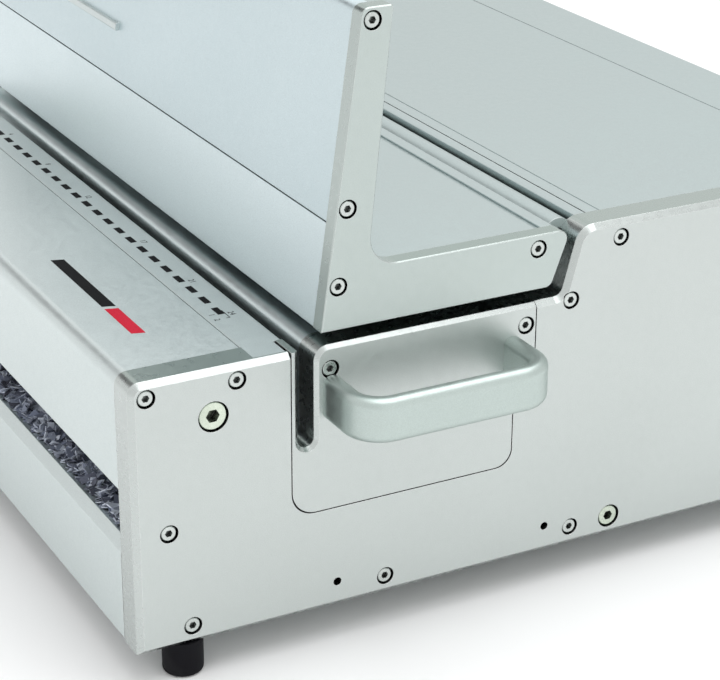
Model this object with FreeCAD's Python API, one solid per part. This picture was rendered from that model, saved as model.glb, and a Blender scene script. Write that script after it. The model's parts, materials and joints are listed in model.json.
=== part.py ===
# Electric comb-binding punch with a pull-out die cassette, a chip drawer and a hinged paper rest.
# Bench frame, millimetres: X = 0 on the middle plane, Y = 0 on the front face, Z = 0 on the lower edge of
# the side plates. save() moves each piece so that the origin is the bottom centre of the whole machine.
import FreeCAD, Part
import math
import os
from FreeCAD import Vector

os.makedirs("parts", exist_ok=True)

# ---- driving dimensions --------------------------------------------------------------------------
WIDTH = 444.0                    # over the side plates
DEPTH = 424.0
FRONT_H = 129.0                  # front part of the side plates
REAR_H = 161.0                   # rear part of the side plates
PLATE_T = 16.0
EDGE = 2.6                       # chamfer round the outer faces
SHOULDER_Y = (211.7, 220.3)      # foot and top of the step between front and rear part
HALF = WIDTH / 2
INNER = HALF - PLATE_T           # inner face of a side plate
SIDES = (1, -1)

FOOT_H = 17.0
FOOT_R = 9.3
FOOT_STUD = (2.5, 5.5)           # radius and length of the stud in the plate's lower edge
FEET = [(sx * (HALF - 9.5), y) for sx in SIDES for y in (24.5, DEPTH - 34.0)]

COVER_T = 4.0
SHEET_T = 2.0
TOP_SKIN = REAR_H - 0.2          # upper face of the rear covers
TOP_UNDER = TOP_SKIN - COVER_T
REAR_SEAM = 381.0                # between top cover and rear cover
SEAM = 0.55                      # round the cassette's end plate
HALF_SEAM = 0.25                 # each side of a seam between covers
COVER_END = INNER - 0.2          # the covers' skins stop short of the side plates
BASE_Z = (4.0, 14.0)
DRAWER_TOP = 48.0
DRAWER_SLOPE = 4.2               # slanted upper front edge of the drawer
WINDOW_TOP = 74.0                # lower edge of the front cover
STRIP_Y = (58.4, 77.8)           # scale strip in front of the slot
STRIP_LOW = 125.2
STRIP_END = HALF - 3.5           # its ends lie in pockets of the side plates
BAR_END = 14.0                   # solid stretch at a cover's end, for the screws

BUTTON_X, BUTTON_Y, BUTTON_R = -165.0, 28.0, 9.0
BUTTON_RISE = 5.2

PIN_PITCH = 14.2875              # 9/16 in
PIN_COUNT = 24
PIN_W, PIN_H = 8.0, 3.2          # comb hole
THROAT_Y = (78.0, 86.0)          # slot for the paper
THROAT_Z = 82.4                  # bottom of the slot
SLOT_RIM = 1.8                   # chamfer round the slot in the end plate
LEAD_IN = 7.0                    # rounding that leads the paper into the slot
PIN_Z = THROAT_Z + 4.8
STROKE = 10.0                    # ram travel in half a turn of the cams

BAY_Y = (74.2, 187.2)            # opening for the die cassette
BAY_Z = 50.0
BAY_STEP = (197.9, 92.0)         # wider upper part: rear edge, height of the step
CASSETTE_X = -203.0              # inner end of the cassette
BED_Z = (54.0, THROAT_Z)
DIE_LOW = 62.0
THROAT_BAR_Y = (THROAT_Y[1], 101.0)
CARRIER_Y = (112.0, 134.0)

HANDLE_OUT = 35.5
HANDLE_Y = (89.5, 190.0)
HANDLE_Z = 104.6
HANDLE_H, HANDLE_T = 20.6, 9.0
HANDLE_CORNER = 18.0
HANDLE_ROUND = 4.0
HANDLE_SCREW_R = 2.5
HANDLE_FEET = (HANDLE_Y[0] + HANDLE_T / 2, HANDLE_Y[1] - HANDLE_T / 2)

HINGE_Y, HINGE_Z = 217.8, 153.0  # paper rest hinge
HINGE_R = 7.8
HINGE_PIN_R = 3.0
KNUCKLES = (-170.0, -60.0, 60.0, 170.0)

LID_BOTTOM = 135.3
LID_TOP = 275.0
DECK_Z = 161.5
DECK_END = 200.8                 # a groove lies between the deck and the hinge bar
LEAN_Y = (89.0, 108.0)           # front edge of the paper rest at the bottom and at the top
CHEEK_T = 8.0
LID_INNER = HALF - CHEEK_T
PANEL_SEAM = 182.0
RAIL_Z = (207.2, 211.0)
RAIL_X = (-190.0, -21.0)
RAIL_OUT = 2.0
GUIDE_X_AT = (-182.0, -160.0)
GUIDE_Z_AT = (196.0, 221.0)

CAM_Y, CAM_Z = 248.0, 84.0       # camshaft
SHAFT_R = 10.0
CAM_BASE = 16.0
CAM_T = 9.0
ROLLER_R = 9.0
AXLE_R = 4.0
CAM_X = 110.0
GAP = 0.3                        # between parts that move past each other
FIT = 0.05                       # running fit, on radius
ROLLER_Y = CAM_Y - CAM_BASE - ROLLER_R - GAP
MODULE = 1.75
GEAR_TEETH, PINION_TEETH = 45, 15
GEAR_X = (-188.0, -178.0)
PINION_Y = CAM_Y + MODULE * (GEAR_TEETH + PINION_TEETH) / 2
PINION_SHAFT_R = 5.0
MOTOR_R = 25.0
RAM_Y = (142.0, 158.0)
RAM_HALF = 188.0
GUIDE_X, GUIDE_Z, GUIDE_R = 160.0, 66.0, 8.0
BUSH_T = 2.0
CROSS_Y = (176.0, 190.0)

TRAY_X = INNER - 3.0
TRAY = (8.0, 160.0, BASE_Z[1] + 0.6, 43.5)
HEAP_X = 196.0

CONNECTOR_X = (-150.0, -20.0)    # window in the rear cover
CONNECTOR_Z = (28.0, 76.0)
PANEL_Y = (408.0, 410.0)         # recessed connector panel
INLET = (-125.0, 52.0)
INLET_HALF = (12.3, 8.2)
FUSE = (-92.0, 52.0)
ROCKER = (-66.0, 52.0)
ROCKER_HALF = (6.5, 10.5)
ROCKER_AXIS_Y = 405.0
ROCKER_TILT = 16.0
JACK = (-38.0, 52.0)
JACK_R = 3.2

M4_HEAD, M4_BORE, M4_SHANK = 3.5, 4.3, 2.0
M4_SEAT = 4.6                    # counterbore depth
M4_HEAD_H = 4.0
M4_IN = 8.4                      # thread length behind the plate
M4_LENGTH = PLATE_T - M4_SEAT + M4_IN
M8_HEAD, M8_BORE, M8_SHANK = 6.4, 7.1, 4.0
M8_SEAT = 8.8
M8_LENGTH = 24.0
M6_HEAD, M6_BORE, M6_SHANK = 5.0, 5.9, 3.0
M6_SEAT = 6.6
M6_LENGTH = 20.0
LID_SEAT = 4.4
LID_SCREW = 12.4
SCREWS = {                       # side plate screws, as (y, z)
    "front_cover": [(7.6, 121.8), (49.2, 121.8)],
    "stop": [(16.0, 56.7)],
    "base": [(25.9, 9.0), (121.4, 9.0), (221.1, 9.5), (350.0, 9.0)],
    "tie": [(216.2, 126.6)],
    "rail": [(241.8, 152.8)],
    "rear": [(400.0, 150.0), (416.0, 60.0)],
}
BOLT = (37.9, 107.3)             # M8 of the front tie bar
REAR_BOLT = (243.2, 9.9)         # M6
TAPPED = [(96.8, 12.5), (206.6, 13.4)]
TAPPED_DEPTH = 9.0
DIE_SCREWS = [(93.4, 117.9), (192.4, 118.9)]
CHEEK_SCREWS = [(112.8, 269.4), (101.6, 189.5), (97.2, 155.2), (197.5, 154.7)]

MOVE = Vector(-HANDLE_OUT / 2, -DEPTH / 2, FOOT_H)


# ---- helpers -------------------------------------------------------------------------------------
def save(name, shape):
    """Write one node in the machine's own frame."""
    placed = shape.copy()
    placed.translate(MOVE)
    placed.exportStep("parts/" + name + ".step")


def box(x0, x1, y0, y1, z0, z1):
    return Part.makeBox(x1 - x0, y1 - y0, z1 - z0, Vector(x0, y0, z0))


def side_box(side, x0, x1, y0, y1, z0, z1):
    """A box given for the right-hand side, mirrored when side is -1."""
    if side > 0:
        return box(x0, x1, y0, y1, z0, z1)
    return box(-x1, -x0, y0, y1, z0, z1)


def rod_x(x0, x1, y, z, r):
    return Part.makeCylinder(r, x1 - x0, Vector(x0, y, z), Vector(1, 0, 0))


def rod_y(y0, y1, x, z, r):
    return Part.makeCylinder(r, y1 - y0, Vector(x, y0, z), Vector(0, 1, 0))


def rod_z(z0, z1, x, y, r):
    return Part.makeCylinder(r, z1 - z0, Vector(x, y, z0), Vector(0, 0, 1))


def mirror_x(shape):
    return shape.mirror(Vector(0, 0, 0), Vector(1, 0, 0))


def both_sides(shape):
    return [shape, mirror_x(shape)]


def outline(corners, make=lambda a, b: Vector(0, a, b)):
    """Closed wire through (a, b, radius) corners, each rounded by an arc of that radius."""
    count = len(corners)
    points = []
    for i, (a, b, r) in enumerate(corners):
        here = Vector(a, b, 0)
        before = Vector(corners[i - 1][0], corners[i - 1][1], 0)
        after = Vector(corners[(i + 1) % count][0], corners[(i + 1) % count][1], 0)
        if r == 0:
            points.append((here,))
            continue
        u = (before - here).normalize()
        v = (after - here).normalize()
        half = u.getAngle(v) / 2
        reach = r / math.tan(half)
        middle = (u + v).normalize()
        centre = here + middle * (r / math.sin(half))
        points.append((here + u * reach, centre - middle * r, here + v * reach))
    edges = []
    for i, group in enumerate(points):
        nodes = [make(p.x, p.y) for p in group]
        if len(nodes) == 3:
            edges.append(Part.Arc(*nodes).toShape())
        start = nodes[-1]
        end_point = points[(i + 1) % count][0]
        end = make(end_point.x, end_point.y)
        if start.distanceToPoint(end) > 1e-6:
            edges.append(Part.makeLine(start, end))
    return Part.Wire(edges)


def slab_x(corners, x0, x1):
    """Extrude a (y, z, radius) outline along X."""
    solid = Part.Face(outline(corners)).extrude(Vector(x1 - x0, 0, 0))
    solid.translate(Vector(x0, 0, 0))
    return solid


def slab_z(corners, z0, z1):
    """Extrude an (x, y, radius) outline along Z."""
    solid = Part.Face(outline(corners, lambda a, b: Vector(a, b, 0))).extrude(Vector(0, 0, z1 - z0))
    solid.translate(Vector(0, 0, z0))
    return solid


def slab_y(corners, y0, y1):
    """Extrude an (x, z, radius) outline along Y."""
    solid = Part.Face(outline(corners, lambda a, b: Vector(a, 0, b))).extrude(Vector(0, y1 - y0, 0))
    solid.translate(Vector(0, y0, 0))
    return solid


def cut(shape, tools):
    return shape.cut(Part.makeCompound(tools)) if tools else shape


def outer_face(shape):
    """The largest face that looks to the right, at the machine's outer side."""
    return max((f for f in shape.Faces if abs(f.CenterOfMass.x - HALF) < 1e-4), key=lambda f: f.Area)


def chamfer_outer(shape, size):
    return shape.makeChamfer(size, outer_face(shape).OuterWire.Edges)


def hexagon_x(x, y, z, r):
    angles = [math.radians(60 * i) for i in range(7)]
    corners = [Vector(x, y + r * math.cos(a), z + r * math.sin(a)) for a in angles]
    return Part.Face(Part.makePolygon(corners))


def cap_screw(y, z, head_r, head_h, shank_r, length, depth):
    """Socket cap screw from the right: its head sits `depth` below the outer face."""
    top = HALF - depth
    seat = top - head_h
    screw = rod_x(seat, top, y, z, head_r)
    rim = [e for e in screw.Edges if abs(e.CenterOfMass.x - top) < 1e-4 and e.Length > 1]
    screw = screw.makeChamfer(0.35, rim)
    socket = hexagon_x(top - head_h * 0.6, y, z, head_r * 0.5).extrude(Vector(head_h, 0, 0))
    return screw.cut(socket).fuse(rod_x(seat - length, seat, y, z, shank_r))


def screw_holes(points, bore_r, seat_depth, hole_r):
    """Counterbore and clearance hole for screws put in from the right."""
    tools = []
    for y, z in points:
        tools.append(rod_x(HALF - seat_depth, HALF + 1, y, z, bore_r))
        tools.append(rod_x(INNER - 1, HALF, y, z, hole_r))
    return tools


def tapped(points, shank_r, length, x_end=INNER):
    """Matching holes behind the plate, the size of the screws' shanks."""
    return [rod_x(x_end - length, x_end + 1, y, z, shank_r) for y, z in points]


def both_tapped(shape, points, shank_r, length):
    tools = tapped(points, shank_r, length)
    return cut(shape, tools + [mirror_x(t) for t in tools])


def all_side_screws():
    return [p for group in SCREWS.values() for p in group]


# ---- chassis -------------------------------------------------------------------------------------
def side_outline():
    return [(0, 0, 0), (DEPTH, 0, 0), (DEPTH, REAR_H, 6), (SHOULDER_Y[1], REAR_H, 10),
            (SHOULDER_Y[0], FRONT_H, 5), (0, FRONT_H, 5.5)]


def bay_outline(inset):
    """Outline of the cassette opening, or of the plate that closes it when inset by the seam."""
    y0, y1 = BAY_Y[0] + inset, BAY_Y[1] - inset
    top = FRONT_H if inset else FRONT_H + 20
    return [(y0, BAY_Z + inset, 11.5), (y1, BAY_Z + inset, 8.5), (y1, BAY_STEP[1] + inset, 4),
            (BAY_STEP[0] - inset, BAY_STEP[1] + inset, 4), (BAY_STEP[0] - inset, top, 0), (y0, top, 0)]


def throat_slot(x0, x1, top):
    middle = sum(THROAT_Y) / 2
    radius = (THROAT_Y[1] - THROAT_Y[0]) / 2
    return rod_x(x0, x1, middle, THROAT_Z + radius, radius).fuse(
        box(x0, x1, THROAT_Y[0], THROAT_Y[1], THROAT_Z + radius, top))


def common_plate_holes():
    tools = screw_holes(all_side_screws(), M4_BORE, M4_SEAT, M4_SHANK + 0.25)
    tools += screw_holes([BOLT], M8_BORE, M8_SEAT, M8_SHANK + 0.3)
    tools += screw_holes([REAR_BOLT], M6_BORE, M6_SEAT, M6_SHANK + 0.25)
    tools += [rod_x(HALF - TAPPED_DEPTH, HALF + 1, y, z, M4_SHANK) for y, z in TAPPED]
    tools += [rod_z(-1, FOOT_STUD[1], x, y, FOOT_STUD[0]) for x, y in FEET if x > 0]
    tools.append(box(INNER - 1, STRIP_END, STRIP_Y[0], STRIP_Y[1], STRIP_LOW, FRONT_H + 1))
    return tools


def right_side_plate():
    plate = slab_x(side_outline(), INNER, HALF)
    plate = chamfer_outer(plate, EDGE)
    plate = plate.cut(slab_x(bay_outline(0), INNER - 1, HALF + 1))
    return cut(plate, common_plate_holes())


def left_side_plate():
    plate = slab_x(side_outline(), INNER, HALF)
    plate = chamfer_outer(plate, EDGE)
    plate = plate.cut(throat_slot(INNER - 1, HALF + 1, FRONT_H + 5))
    return mirror_x(cut(plate, common_plate_holes()))


def side_plate_screws():
    screws = []
    for y, z in all_side_screws():
        screws += both_sides(cap_screw(y, z, M4_HEAD, M4_HEAD_H, M4_SHANK, M4_LENGTH, M4_SEAT - M4_HEAD_H))
    return Part.makeCompound(screws)


def tie_bolts():
    front = cap_screw(BOLT[0], BOLT[1], M8_HEAD, 8.0, M8_SHANK, M8_LENGTH, M8_SEAT - 8.0)
    rear = cap_screw(REAR_BOLT[0], REAR_BOLT[1], M6_HEAD, 6.0, M6_SHANK, M6_LENGTH, M6_SEAT - 6.0)
    return Part.makeCompound(both_sides(front) + both_sides(rear))


def base_plate():
    plate = box(-INNER, INNER, 9.0, DEPTH - COVER_T - 0.5, BASE_Z[0], BASE_Z[1])
    vents = []
    for i in range(9):
        x = -80.0 + 20.0 * i
        vents.append(slab_z([(x, 290, 2.4), (x + 5, 290, 2.4), (x + 5, 340, 2.4), (x, 340, 2.4)], 0, 20))
    plate = cut(plate, vents)
    plate = both_tapped(plate, SCREWS["base"], M4_SHANK, M4_IN)
    return both_tapped(plate, [REAR_BOLT], M6_SHANK, M6_LENGTH - (PLATE_T - M6_SEAT))


def rubber_feet():
    """Round feet, each with a stud in the lower edge of a side plate."""
    feet = []
    for x, y in FEET:
        foot = rod_z(-FOOT_H, 0, x, y, FOOT_R)
        low = [e for e in foot.Edges if abs(e.CenterOfMass.z + FOOT_H) < 1e-4 and e.Length > 1]
        foot = foot.makeFillet(2.2, low)
        feet.append(foot.fuse(rod_z(0, FOOT_STUD[1], x, y, FOOT_STUD[0])))
    return Part.makeCompound(feet)


def front_cover():
    """Front wall, rounded edge and top in one, hollow between two end blocks that take the screws."""
    skin = FRONT_H - 0.4
    under = skin - COVER_T
    block = 117.0
    rear = STRIP_Y[0] - HALF_SEAM
    outer = [(0, WINDOW_TOP, 1.2), (COVER_T, WINDOW_TOP, 0), (COVER_T, block, 0), (54.0, block, 0),
             (54.0, under, 0), (rear, under, 0), (rear, skin, 0.4), (0, skin, 6.0)]
    cover = slab_x(outer, -COVER_END, COVER_END)
    hollow = box(-INNER + BAR_END, INNER - BAR_END, COVER_T, 54.0, block, under)
    cover = cover.cut(hollow)
    for side in SIDES:
        cover = cover.fuse(side_box(side, COVER_END - 1, INNER, COVER_T, 54.0, block, under))
    cover = cover.cut(rod_z(block - 7, FRONT_H + 11, BUTTON_X, BUTTON_Y, BUTTON_R + GAP))
    return both_tapped(cover, SCREWS["front_cover"], M4_SHANK, M4_IN)


def button_bezel():
    ring = rod_z(FRONT_H - 0.4, FRONT_H + 2.2, BUTTON_X, BUTTON_Y, BUTTON_R + 4)
    top = [e for e in ring.Edges if abs(e.CenterOfMass.z - FRONT_H - 2.2) < 1e-4 and e.Length > 1]
    ring = ring.makeFillet(1.2, top)
    return ring.cut(rod_z(100, 140, BUTTON_X, BUTTON_Y, BUTTON_R + GAP))


def punch_button():
    cap = rod_z(FRONT_H - 9, FRONT_H + BUTTON_RISE, BUTTON_X, BUTTON_Y, BUTTON_R)
    top = [e for e in cap.Edges if abs(e.CenterOfMass.z - FRONT_H - BUTTON_RISE) < 1e-4 and e.Length > 1]
    return cap.makeFillet(1.5, top)


def ruler_strip():
    """Scale strip; a narrower tongue at each end lies in the side plate's pocket."""
    top = FRONT_H - 0.3
    strip = slab_x([(STRIP_Y[0], STRIP_LOW, 0), (STRIP_Y[1], STRIP_LOW, 0), (STRIP_Y[1], top, 0.8),
                    (STRIP_Y[0], top, 0.4)], -INNER, INNER)
    tongue = box(INNER, STRIP_END, STRIP_Y[0], BAY_Y[0] - SEAM, STRIP_LOW, top)
    return strip.fuse(tongue).fuse(mirror_x(tongue))


def tie_bars():
    """Front bar on the M8 bolts and rear bar under the paper rest's hinge."""
    front = slab_x([(27, 97, 2), (48, 97, 2), (48, 116.6, 2), (27, 116.6, 2)], -INNER, INNER)
    rear = slab_x([(212.4, 119, 1.5), (224, 119, 1.5), (224, 131, 1.5), (212.4, 131, 1.5)], -INNER, INNER)
    return Part.makeCompound([both_tapped(front, [BOLT], M8_SHANK, M8_LENGTH - (PLATE_T - M8_SEAT)),
                              both_tapped(rear, SCREWS["tie"], M4_SHANK, M4_IN)])


def pin_places():
    first = -PIN_PITCH * (PIN_COUNT - 1) / 2
    return [first + PIN_PITCH * i for i in range(PIN_COUNT)]


def die_support_bar():
    bar = slab_x([(60, 78, 1), (74.0, 78, 1), (74.0, 125.0, 0), (60, 125.0, 0)], -INNER, INNER)
    chutes = [box(x - 5.2, x + 5.2, 59, 75, PIN_Z - 3.0, PIN_Z + 3.0) for x in pin_places()]
    return cut(bar, chutes)


def hinge_rail():
    body = slab_x([(226, 138.6, 1), (249, 138.6, 1), (249, TOP_UNDER, 0), (240, TOP_UNDER, 0),
                   (240, TOP_SKIN, 0.4), (226, TOP_SKIN, 0.6)], -INNER, INNER)
    groove = box(-INNER - 1, INNER + 1, 232.1, 232.9, TOP_SKIN - 0.6, TOP_SKIN + 1)
    body = body.cut(groove)
    for x in KNUCKLES:
        lug = rod_x(x - 6, x + 6, HINGE_Y, HINGE_Z, 5.0)
        web = box(x - 6, x + 6, HINGE_Y - 3, HINGE_Y + 1, 139, HINGE_Z - 3.5)
        foot = box(x - 6, x + 6, HINGE_Y - 3, 227, 138.6, 144.6)
        body = body.fuse(lug).fuse(web).fuse(foot)
    body = body.cut(rod_x(-INNER, INNER, HINGE_Y, HINGE_Z, HINGE_PIN_R))
    return both_tapped(body, SCREWS["rail"], M4_SHANK, M4_IN)


def hinge_pins():
    pins = [rod_x(x - 14, x + 14, HINGE_Y, HINGE_Z, HINGE_PIN_R) for x in KNUCKLES]
    return Part.makeCompound(pins)


def top_cover():
    front, rear = 240.3, REAR_SEAM - HALF_SEAM
    plate = slab_x([(front, TOP_UNDER, 0), (rear, TOP_UNDER, 0), (rear, TOP_SKIN, 0.3),
                    (front, TOP_SKIN, 0.5)], -COVER_END, COVER_END)
    rib = box(-INNER, INNER, REAR_SEAM - 14, REAR_SEAM - 4, 148, TOP_UNDER)
    return plate.fuse(rib)


def rear_cover():
    front, skin, wall = REAR_SEAM + HALF_SEAM, DEPTH - 0.2, DEPTH - COVER_T
    outer = [(front, TOP_UNDER, 0), (wall, TOP_UNDER, 2), (wall, BASE_Z[1], 0), (wall - 0.5, BASE_Z[1], 0),
             (wall - 0.5, 2.0, 0), (skin, 2.0, 1), (skin, TOP_SKIN, 6), (front, TOP_SKIN, 0.3)]
    cover = slab_x(outer, -COVER_END, COVER_END)
    for side in SIDES:
        cover = cover.fuse(side_box(side, INNER - BAR_END, INNER, 394, 408, 144, TOP_UNDER))
        cover = cover.fuse(side_box(side, INNER - BAR_END, INNER, 410, wall + 1, 50, 70))
    window = slab_y([(CONNECTOR_X[0], CONNECTOR_Z[0], 3), (CONNECTOR_X[1], CONNECTOR_Z[0], 3),
                     (CONNECTOR_X[1], CONNECTOR_Z[1], 3), (CONNECTOR_X[0], CONNECTOR_Z[1], 3)],
                    DEPTH - 10, DEPTH + 5)
    vents = []
    for i in range(10):
        x = 30.0 + 14.0 * i
        vents.append(slab_y([(x, 96, 2), (x + 4.2, 96, 2), (x + 4.2, 132, 2), (x, 132, 2)],
                            DEPTH - 10, DEPTH + 5))
    cover = cut(cover, [window] + vents)
    return both_tapped(cover, SCREWS["rear"], M4_SHANK, M4_IN)


def connector_panel():
    plate = box(CONNECTOR_X[0] - 8, CONNECTOR_X[1] + 8, PANEL_Y[0], PANEL_Y[1], BASE_Z[1], 84)
    flange = box(CONNECTOR_X[0] - 8, CONNECTOR_X[1] + 8, PANEL_Y[0] - 18, PANEL_Y[0],
                 BASE_Z[1], BASE_Z[1] + 2)
    holes = [box(INLET[0] - 14, INLET[0] + 14, 400, 415, INLET[1] - 10, INLET[1] + 10),
             rod_y(400, 415, FUSE[0], FUSE[1], 6.0),
             box(ROCKER[0] - 8, ROCKER[0] + 8, 400, 415, ROCKER[1] - 12, ROCKER[1] + 12),
             rod_y(400, 415, JACK[0], JACK[1], 5.5)]
    return cut(plate.fuse(flange), holes)


def mains_inlet():
    x, z = INLET
    body = box(x - 14, x + 14, 388, PANEL_Y[1], z - 10, z + 10)
    flange = slab_y([(x - 17, z - 13, 2), (x + 17, z - 13, 2), (x + 17, z + 13, 2), (x - 17, z + 13, 2)],
                    PANEL_Y[1], PANEL_Y[1] + 3)
    w, h = INLET_HALF
    recess = slab_y([(x - w, z - h, 1), (x + w, z - h, 1), (x + w, z + h, 4), (x - w, z + h, 4)],
                    PANEL_Y[1] - 14, PANEL_Y[1] + 4)
    body = body.fuse(flange).cut(recess)
    for dx, dz in ((-7.0, -1.5), (0.0, 2.5), (7.0, -1.5)):
        blade = box(x + dx - 1.0, x + dx + 1.0, PANEL_Y[1] - 15, PANEL_Y[1] - 3, z + dz - 2, z + dz + 2)
        body = body.fuse(blade)
    return body


def fuse_holder():
    x, z = FUSE
    body = rod_y(385, PANEL_Y[1], x, z, 6.0).fuse(rod_y(PANEL_Y[1], PANEL_Y[1] + 4, x, z, 8.0))
    slot = box(x - 5, x + 5, PANEL_Y[1] + 3, PANEL_Y[1] + 5, z - 0.6, z + 0.6)
    return body.cut(slot)


def pedal_socket():
    x, z = JACK
    body = rod_y(385, PANEL_Y[1], x, z, 5.5)
    nut = Part.Face(Part.makePolygon([Vector(x + 8 * math.cos(a), PANEL_Y[1], z + 8 * math.sin(a))
                                      for a in [math.radians(60 * i) for i in range(7)]]))
    body = body.fuse(nut.extrude(Vector(0, 3, 0)))
    return body.cut(rod_y(PANEL_Y[1] - 15, PANEL_Y[1] + 4, x, z, JACK_R))


def switch_frame():
    x, z = ROCKER
    frame = box(x - 8, x + 8, 390, PANEL_Y[1], z - 12, z + 12)
    rim = slab_y([(x - 10, z - 14, 1.5), (x + 10, z - 14, 1.5), (x + 10, z + 14, 1.5),
                  (x - 10, z + 14, 1.5)], PANEL_Y[1], PANEL_Y[1] + 2)
    w, h = ROCKER_HALF
    well = box(x - w - GAP, x + w + GAP, 396, PANEL_Y[1] + 3, z - h - 0.8, z + h + 0.8)
    return frame.fuse(rim).cut(well)


def power_rocker():
    """Rocker lying tilted by half its travel; it turns about an X axis at ROCKER_AXIS_Y."""
    x, z = ROCKER
    w, h = ROCKER_HALF
    key = slab_x([(ROCKER_AXIS_Y - 4, z - 4, 1), (PANEL_Y[1] + 1.6, z - h, 0.8), (PANEL_Y[1] + 0.4, z, 0),
                  (PANEL_Y[1] + 1.6, z + h, 0.8), (ROCKER_AXIS_Y - 4, z + 4, 1)], x - w, x + w)
    key.rotate(Vector(x, ROCKER_AXIS_Y, z), Vector(1, 0, 0), ROCKER_TILT / 2)
    return key


# ---- drive ---------------------------------------------------------------------------------------
def cross_member():
    plate = box(-INNER, INNER, CROSS_Y[0], CROSS_Y[1], BASE_Z[1], 99.5)
    windows = [side_box(s, CAM_X - 14, CAM_X + 14, 170, 195, 71, 95) for s in SIDES]
    bores = [rod_y(170, 195, s * GUIDE_X, GUIDE_Z, GUIDE_R) for s in SIDES]
    return cut(plate, windows + bores)


def guide_shafts():
    return Part.makeCompound([rod_y(128, CROSS_Y[1], s * GUIDE_X, GUIDE_Z, GUIDE_R) for s in SIDES])


def ram():
    """Pressing bar with a T nose that hooks into the pin carrier, and two forked arms."""
    bar = box(-RAM_HALF, RAM_HALF, RAM_Y[0], RAM_Y[1], 54, 104)
    nose = box(-RAM_HALF, RAM_HALF, 129.5, RAM_Y[0], 90.6, 96.4)
    head = box(-RAM_HALF, RAM_HALF, 124.8, 129.6, 86.6, 100.4)
    ram_body = bar.fuse(nose).fuse(head)
    for s in SIDES:
        arm = side_box(s, CAM_X - 12, CAM_X + 12, RAM_Y[1], 230.0, 74, 92.5)
        slot = side_box(s, CAM_X - 7, CAM_X + 7, ROLLER_Y - ROLLER_R - 1.5, 231.0, 70, 98)
        arm = arm.cut(slot).cut(rod_x(-HALF, HALF, ROLLER_Y, CAM_Z, AXLE_R))
        ram_body = ram_body.fuse(arm)
    bores = [rod_y(RAM_Y[0] - 2, RAM_Y[1] + 2, s * GUIDE_X, GUIDE_Z, GUIDE_R + BUSH_T) for s in SIDES]
    return cut(ram_body, bores)


def ram_bushes():
    bushes = [rod_y(RAM_Y[0], RAM_Y[1], s * GUIDE_X, GUIDE_Z, GUIDE_R + BUSH_T).cut(
        rod_y(RAM_Y[0], RAM_Y[1], s * GUIDE_X, GUIDE_Z, GUIDE_R + FIT)) for s in SIDES]
    return Part.makeCompound(bushes)


def roller_axles():
    axle = rod_x(CAM_X - 12, CAM_X + 12, ROLLER_Y, CAM_Z, AXLE_R)
    return Part.makeCompound(both_sides(axle))


def cam_roller(side):
    x = side * CAM_X
    return rod_x(x - 6.5, x + 6.5, ROLLER_Y, CAM_Z, ROLLER_R).cut(
        rod_x(x - 7, x + 7, ROLLER_Y, CAM_Z, AXLE_R + FIT))


def camshaft():
    return rod_x(-INNER + 2, INNER - 2, CAM_Y, CAM_Z, SHAFT_R)


def cam_outline():
    """Heart cam with a constant rise: STROKE in half a turn, mirrored for the way back."""
    rate = STROKE / math.pi
    pitch_base = CAM_BASE + ROLLER_R
    steps = 24
    rising = []
    for i in range(steps + 1):
        turn = (math.pi - 0.06) * i / steps
        pitch = pitch_base + rate * turn
        lean = math.atan(rate / pitch)
        rising.append((turn, pitch, lean))
    flanks = []
    for mirror in (1, -1):
        points = []
        for turn, pitch, lean in rising:
            along = pitch - ROLLER_R * math.cos(lean)
            across = ROLLER_R * math.sin(lean)
            y = -along * math.cos(turn) + across * math.sin(turn)
            z = along * math.sin(turn) + across * math.cos(turn)
            points.append(Vector(0, CAM_Y + y, CAM_Z + mirror * z))
        curve = Part.BSplineCurve()
        curve.interpolate(points)
        flanks.append((curve.toShape(), points))
    (first, a), (second, b) = flanks
    return Part.Wire([first, Part.makeLine(a[-1], b[-1]), second, Part.makeLine(b[0], a[0])])


def cams():
    disc = Part.Face(cam_outline()).extrude(Vector(CAM_T, 0, 0))
    disc.translate(Vector(CAM_X - CAM_T / 2, 0, 0))
    disc = disc.cut(rod_x(0, HALF, CAM_Y, CAM_Z, SHAFT_R))
    return Part.makeCompound(both_sides(disc))


def gear(teeth, y, z, x0, x1, bore, turn):
    """Spur gear with slightly thinned straight-flanked teeth."""
    pitch_r = MODULE * teeth / 2
    levels = ((pitch_r - 1.25 * MODULE, 0.95), (pitch_r, 0.60), (pitch_r + 0.95 * MODULE, 0.28))
    step = math.pi / teeth
    points = []
    for i in range(teeth):
        centre = turn + 2 * math.pi * i / teeth
        left = [(r, centre - step * w * 0.72) for r, w in levels]
        right = [(r, centre + step * w * 0.72) for r, w in reversed(levels)]
        points += left + right
    ring = [Vector(0, y + r * math.cos(a), z + r * math.sin(a)) for r, a in points]
    wheel = Part.Face(Part.makePolygon(ring + ring[:1])).extrude(Vector(x1 - x0, 0, 0))
    wheel.translate(Vector(x0, 0, 0))
    return wheel.cut(rod_x(x0 - 1, x1 + 1, y, z, bore)) if bore else wheel


def cam_gear():
    wheel = gear(GEAR_TEETH, CAM_Y, CAM_Z, GEAR_X[0], GEAR_X[1], SHAFT_R, 0.0)
    holes = []
    for i in range(5):
        a = 2 * math.pi * i / 5
        holes.append(rod_x(-200, -170, CAM_Y + 24 * math.cos(a), CAM_Z + 24 * math.sin(a), 6.0))
    return cut(wheel, holes)


def motor_pinion():
    wheel = gear(PINION_TEETH, PINION_Y, CAM_Z, GEAR_X[0], GEAR_X[1], 0, math.pi + math.pi / PINION_TEETH)
    return wheel.fuse(rod_x(GEAR_X[1], -160.0, PINION_Y, CAM_Z, PINION_SHAFT_R))


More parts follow.
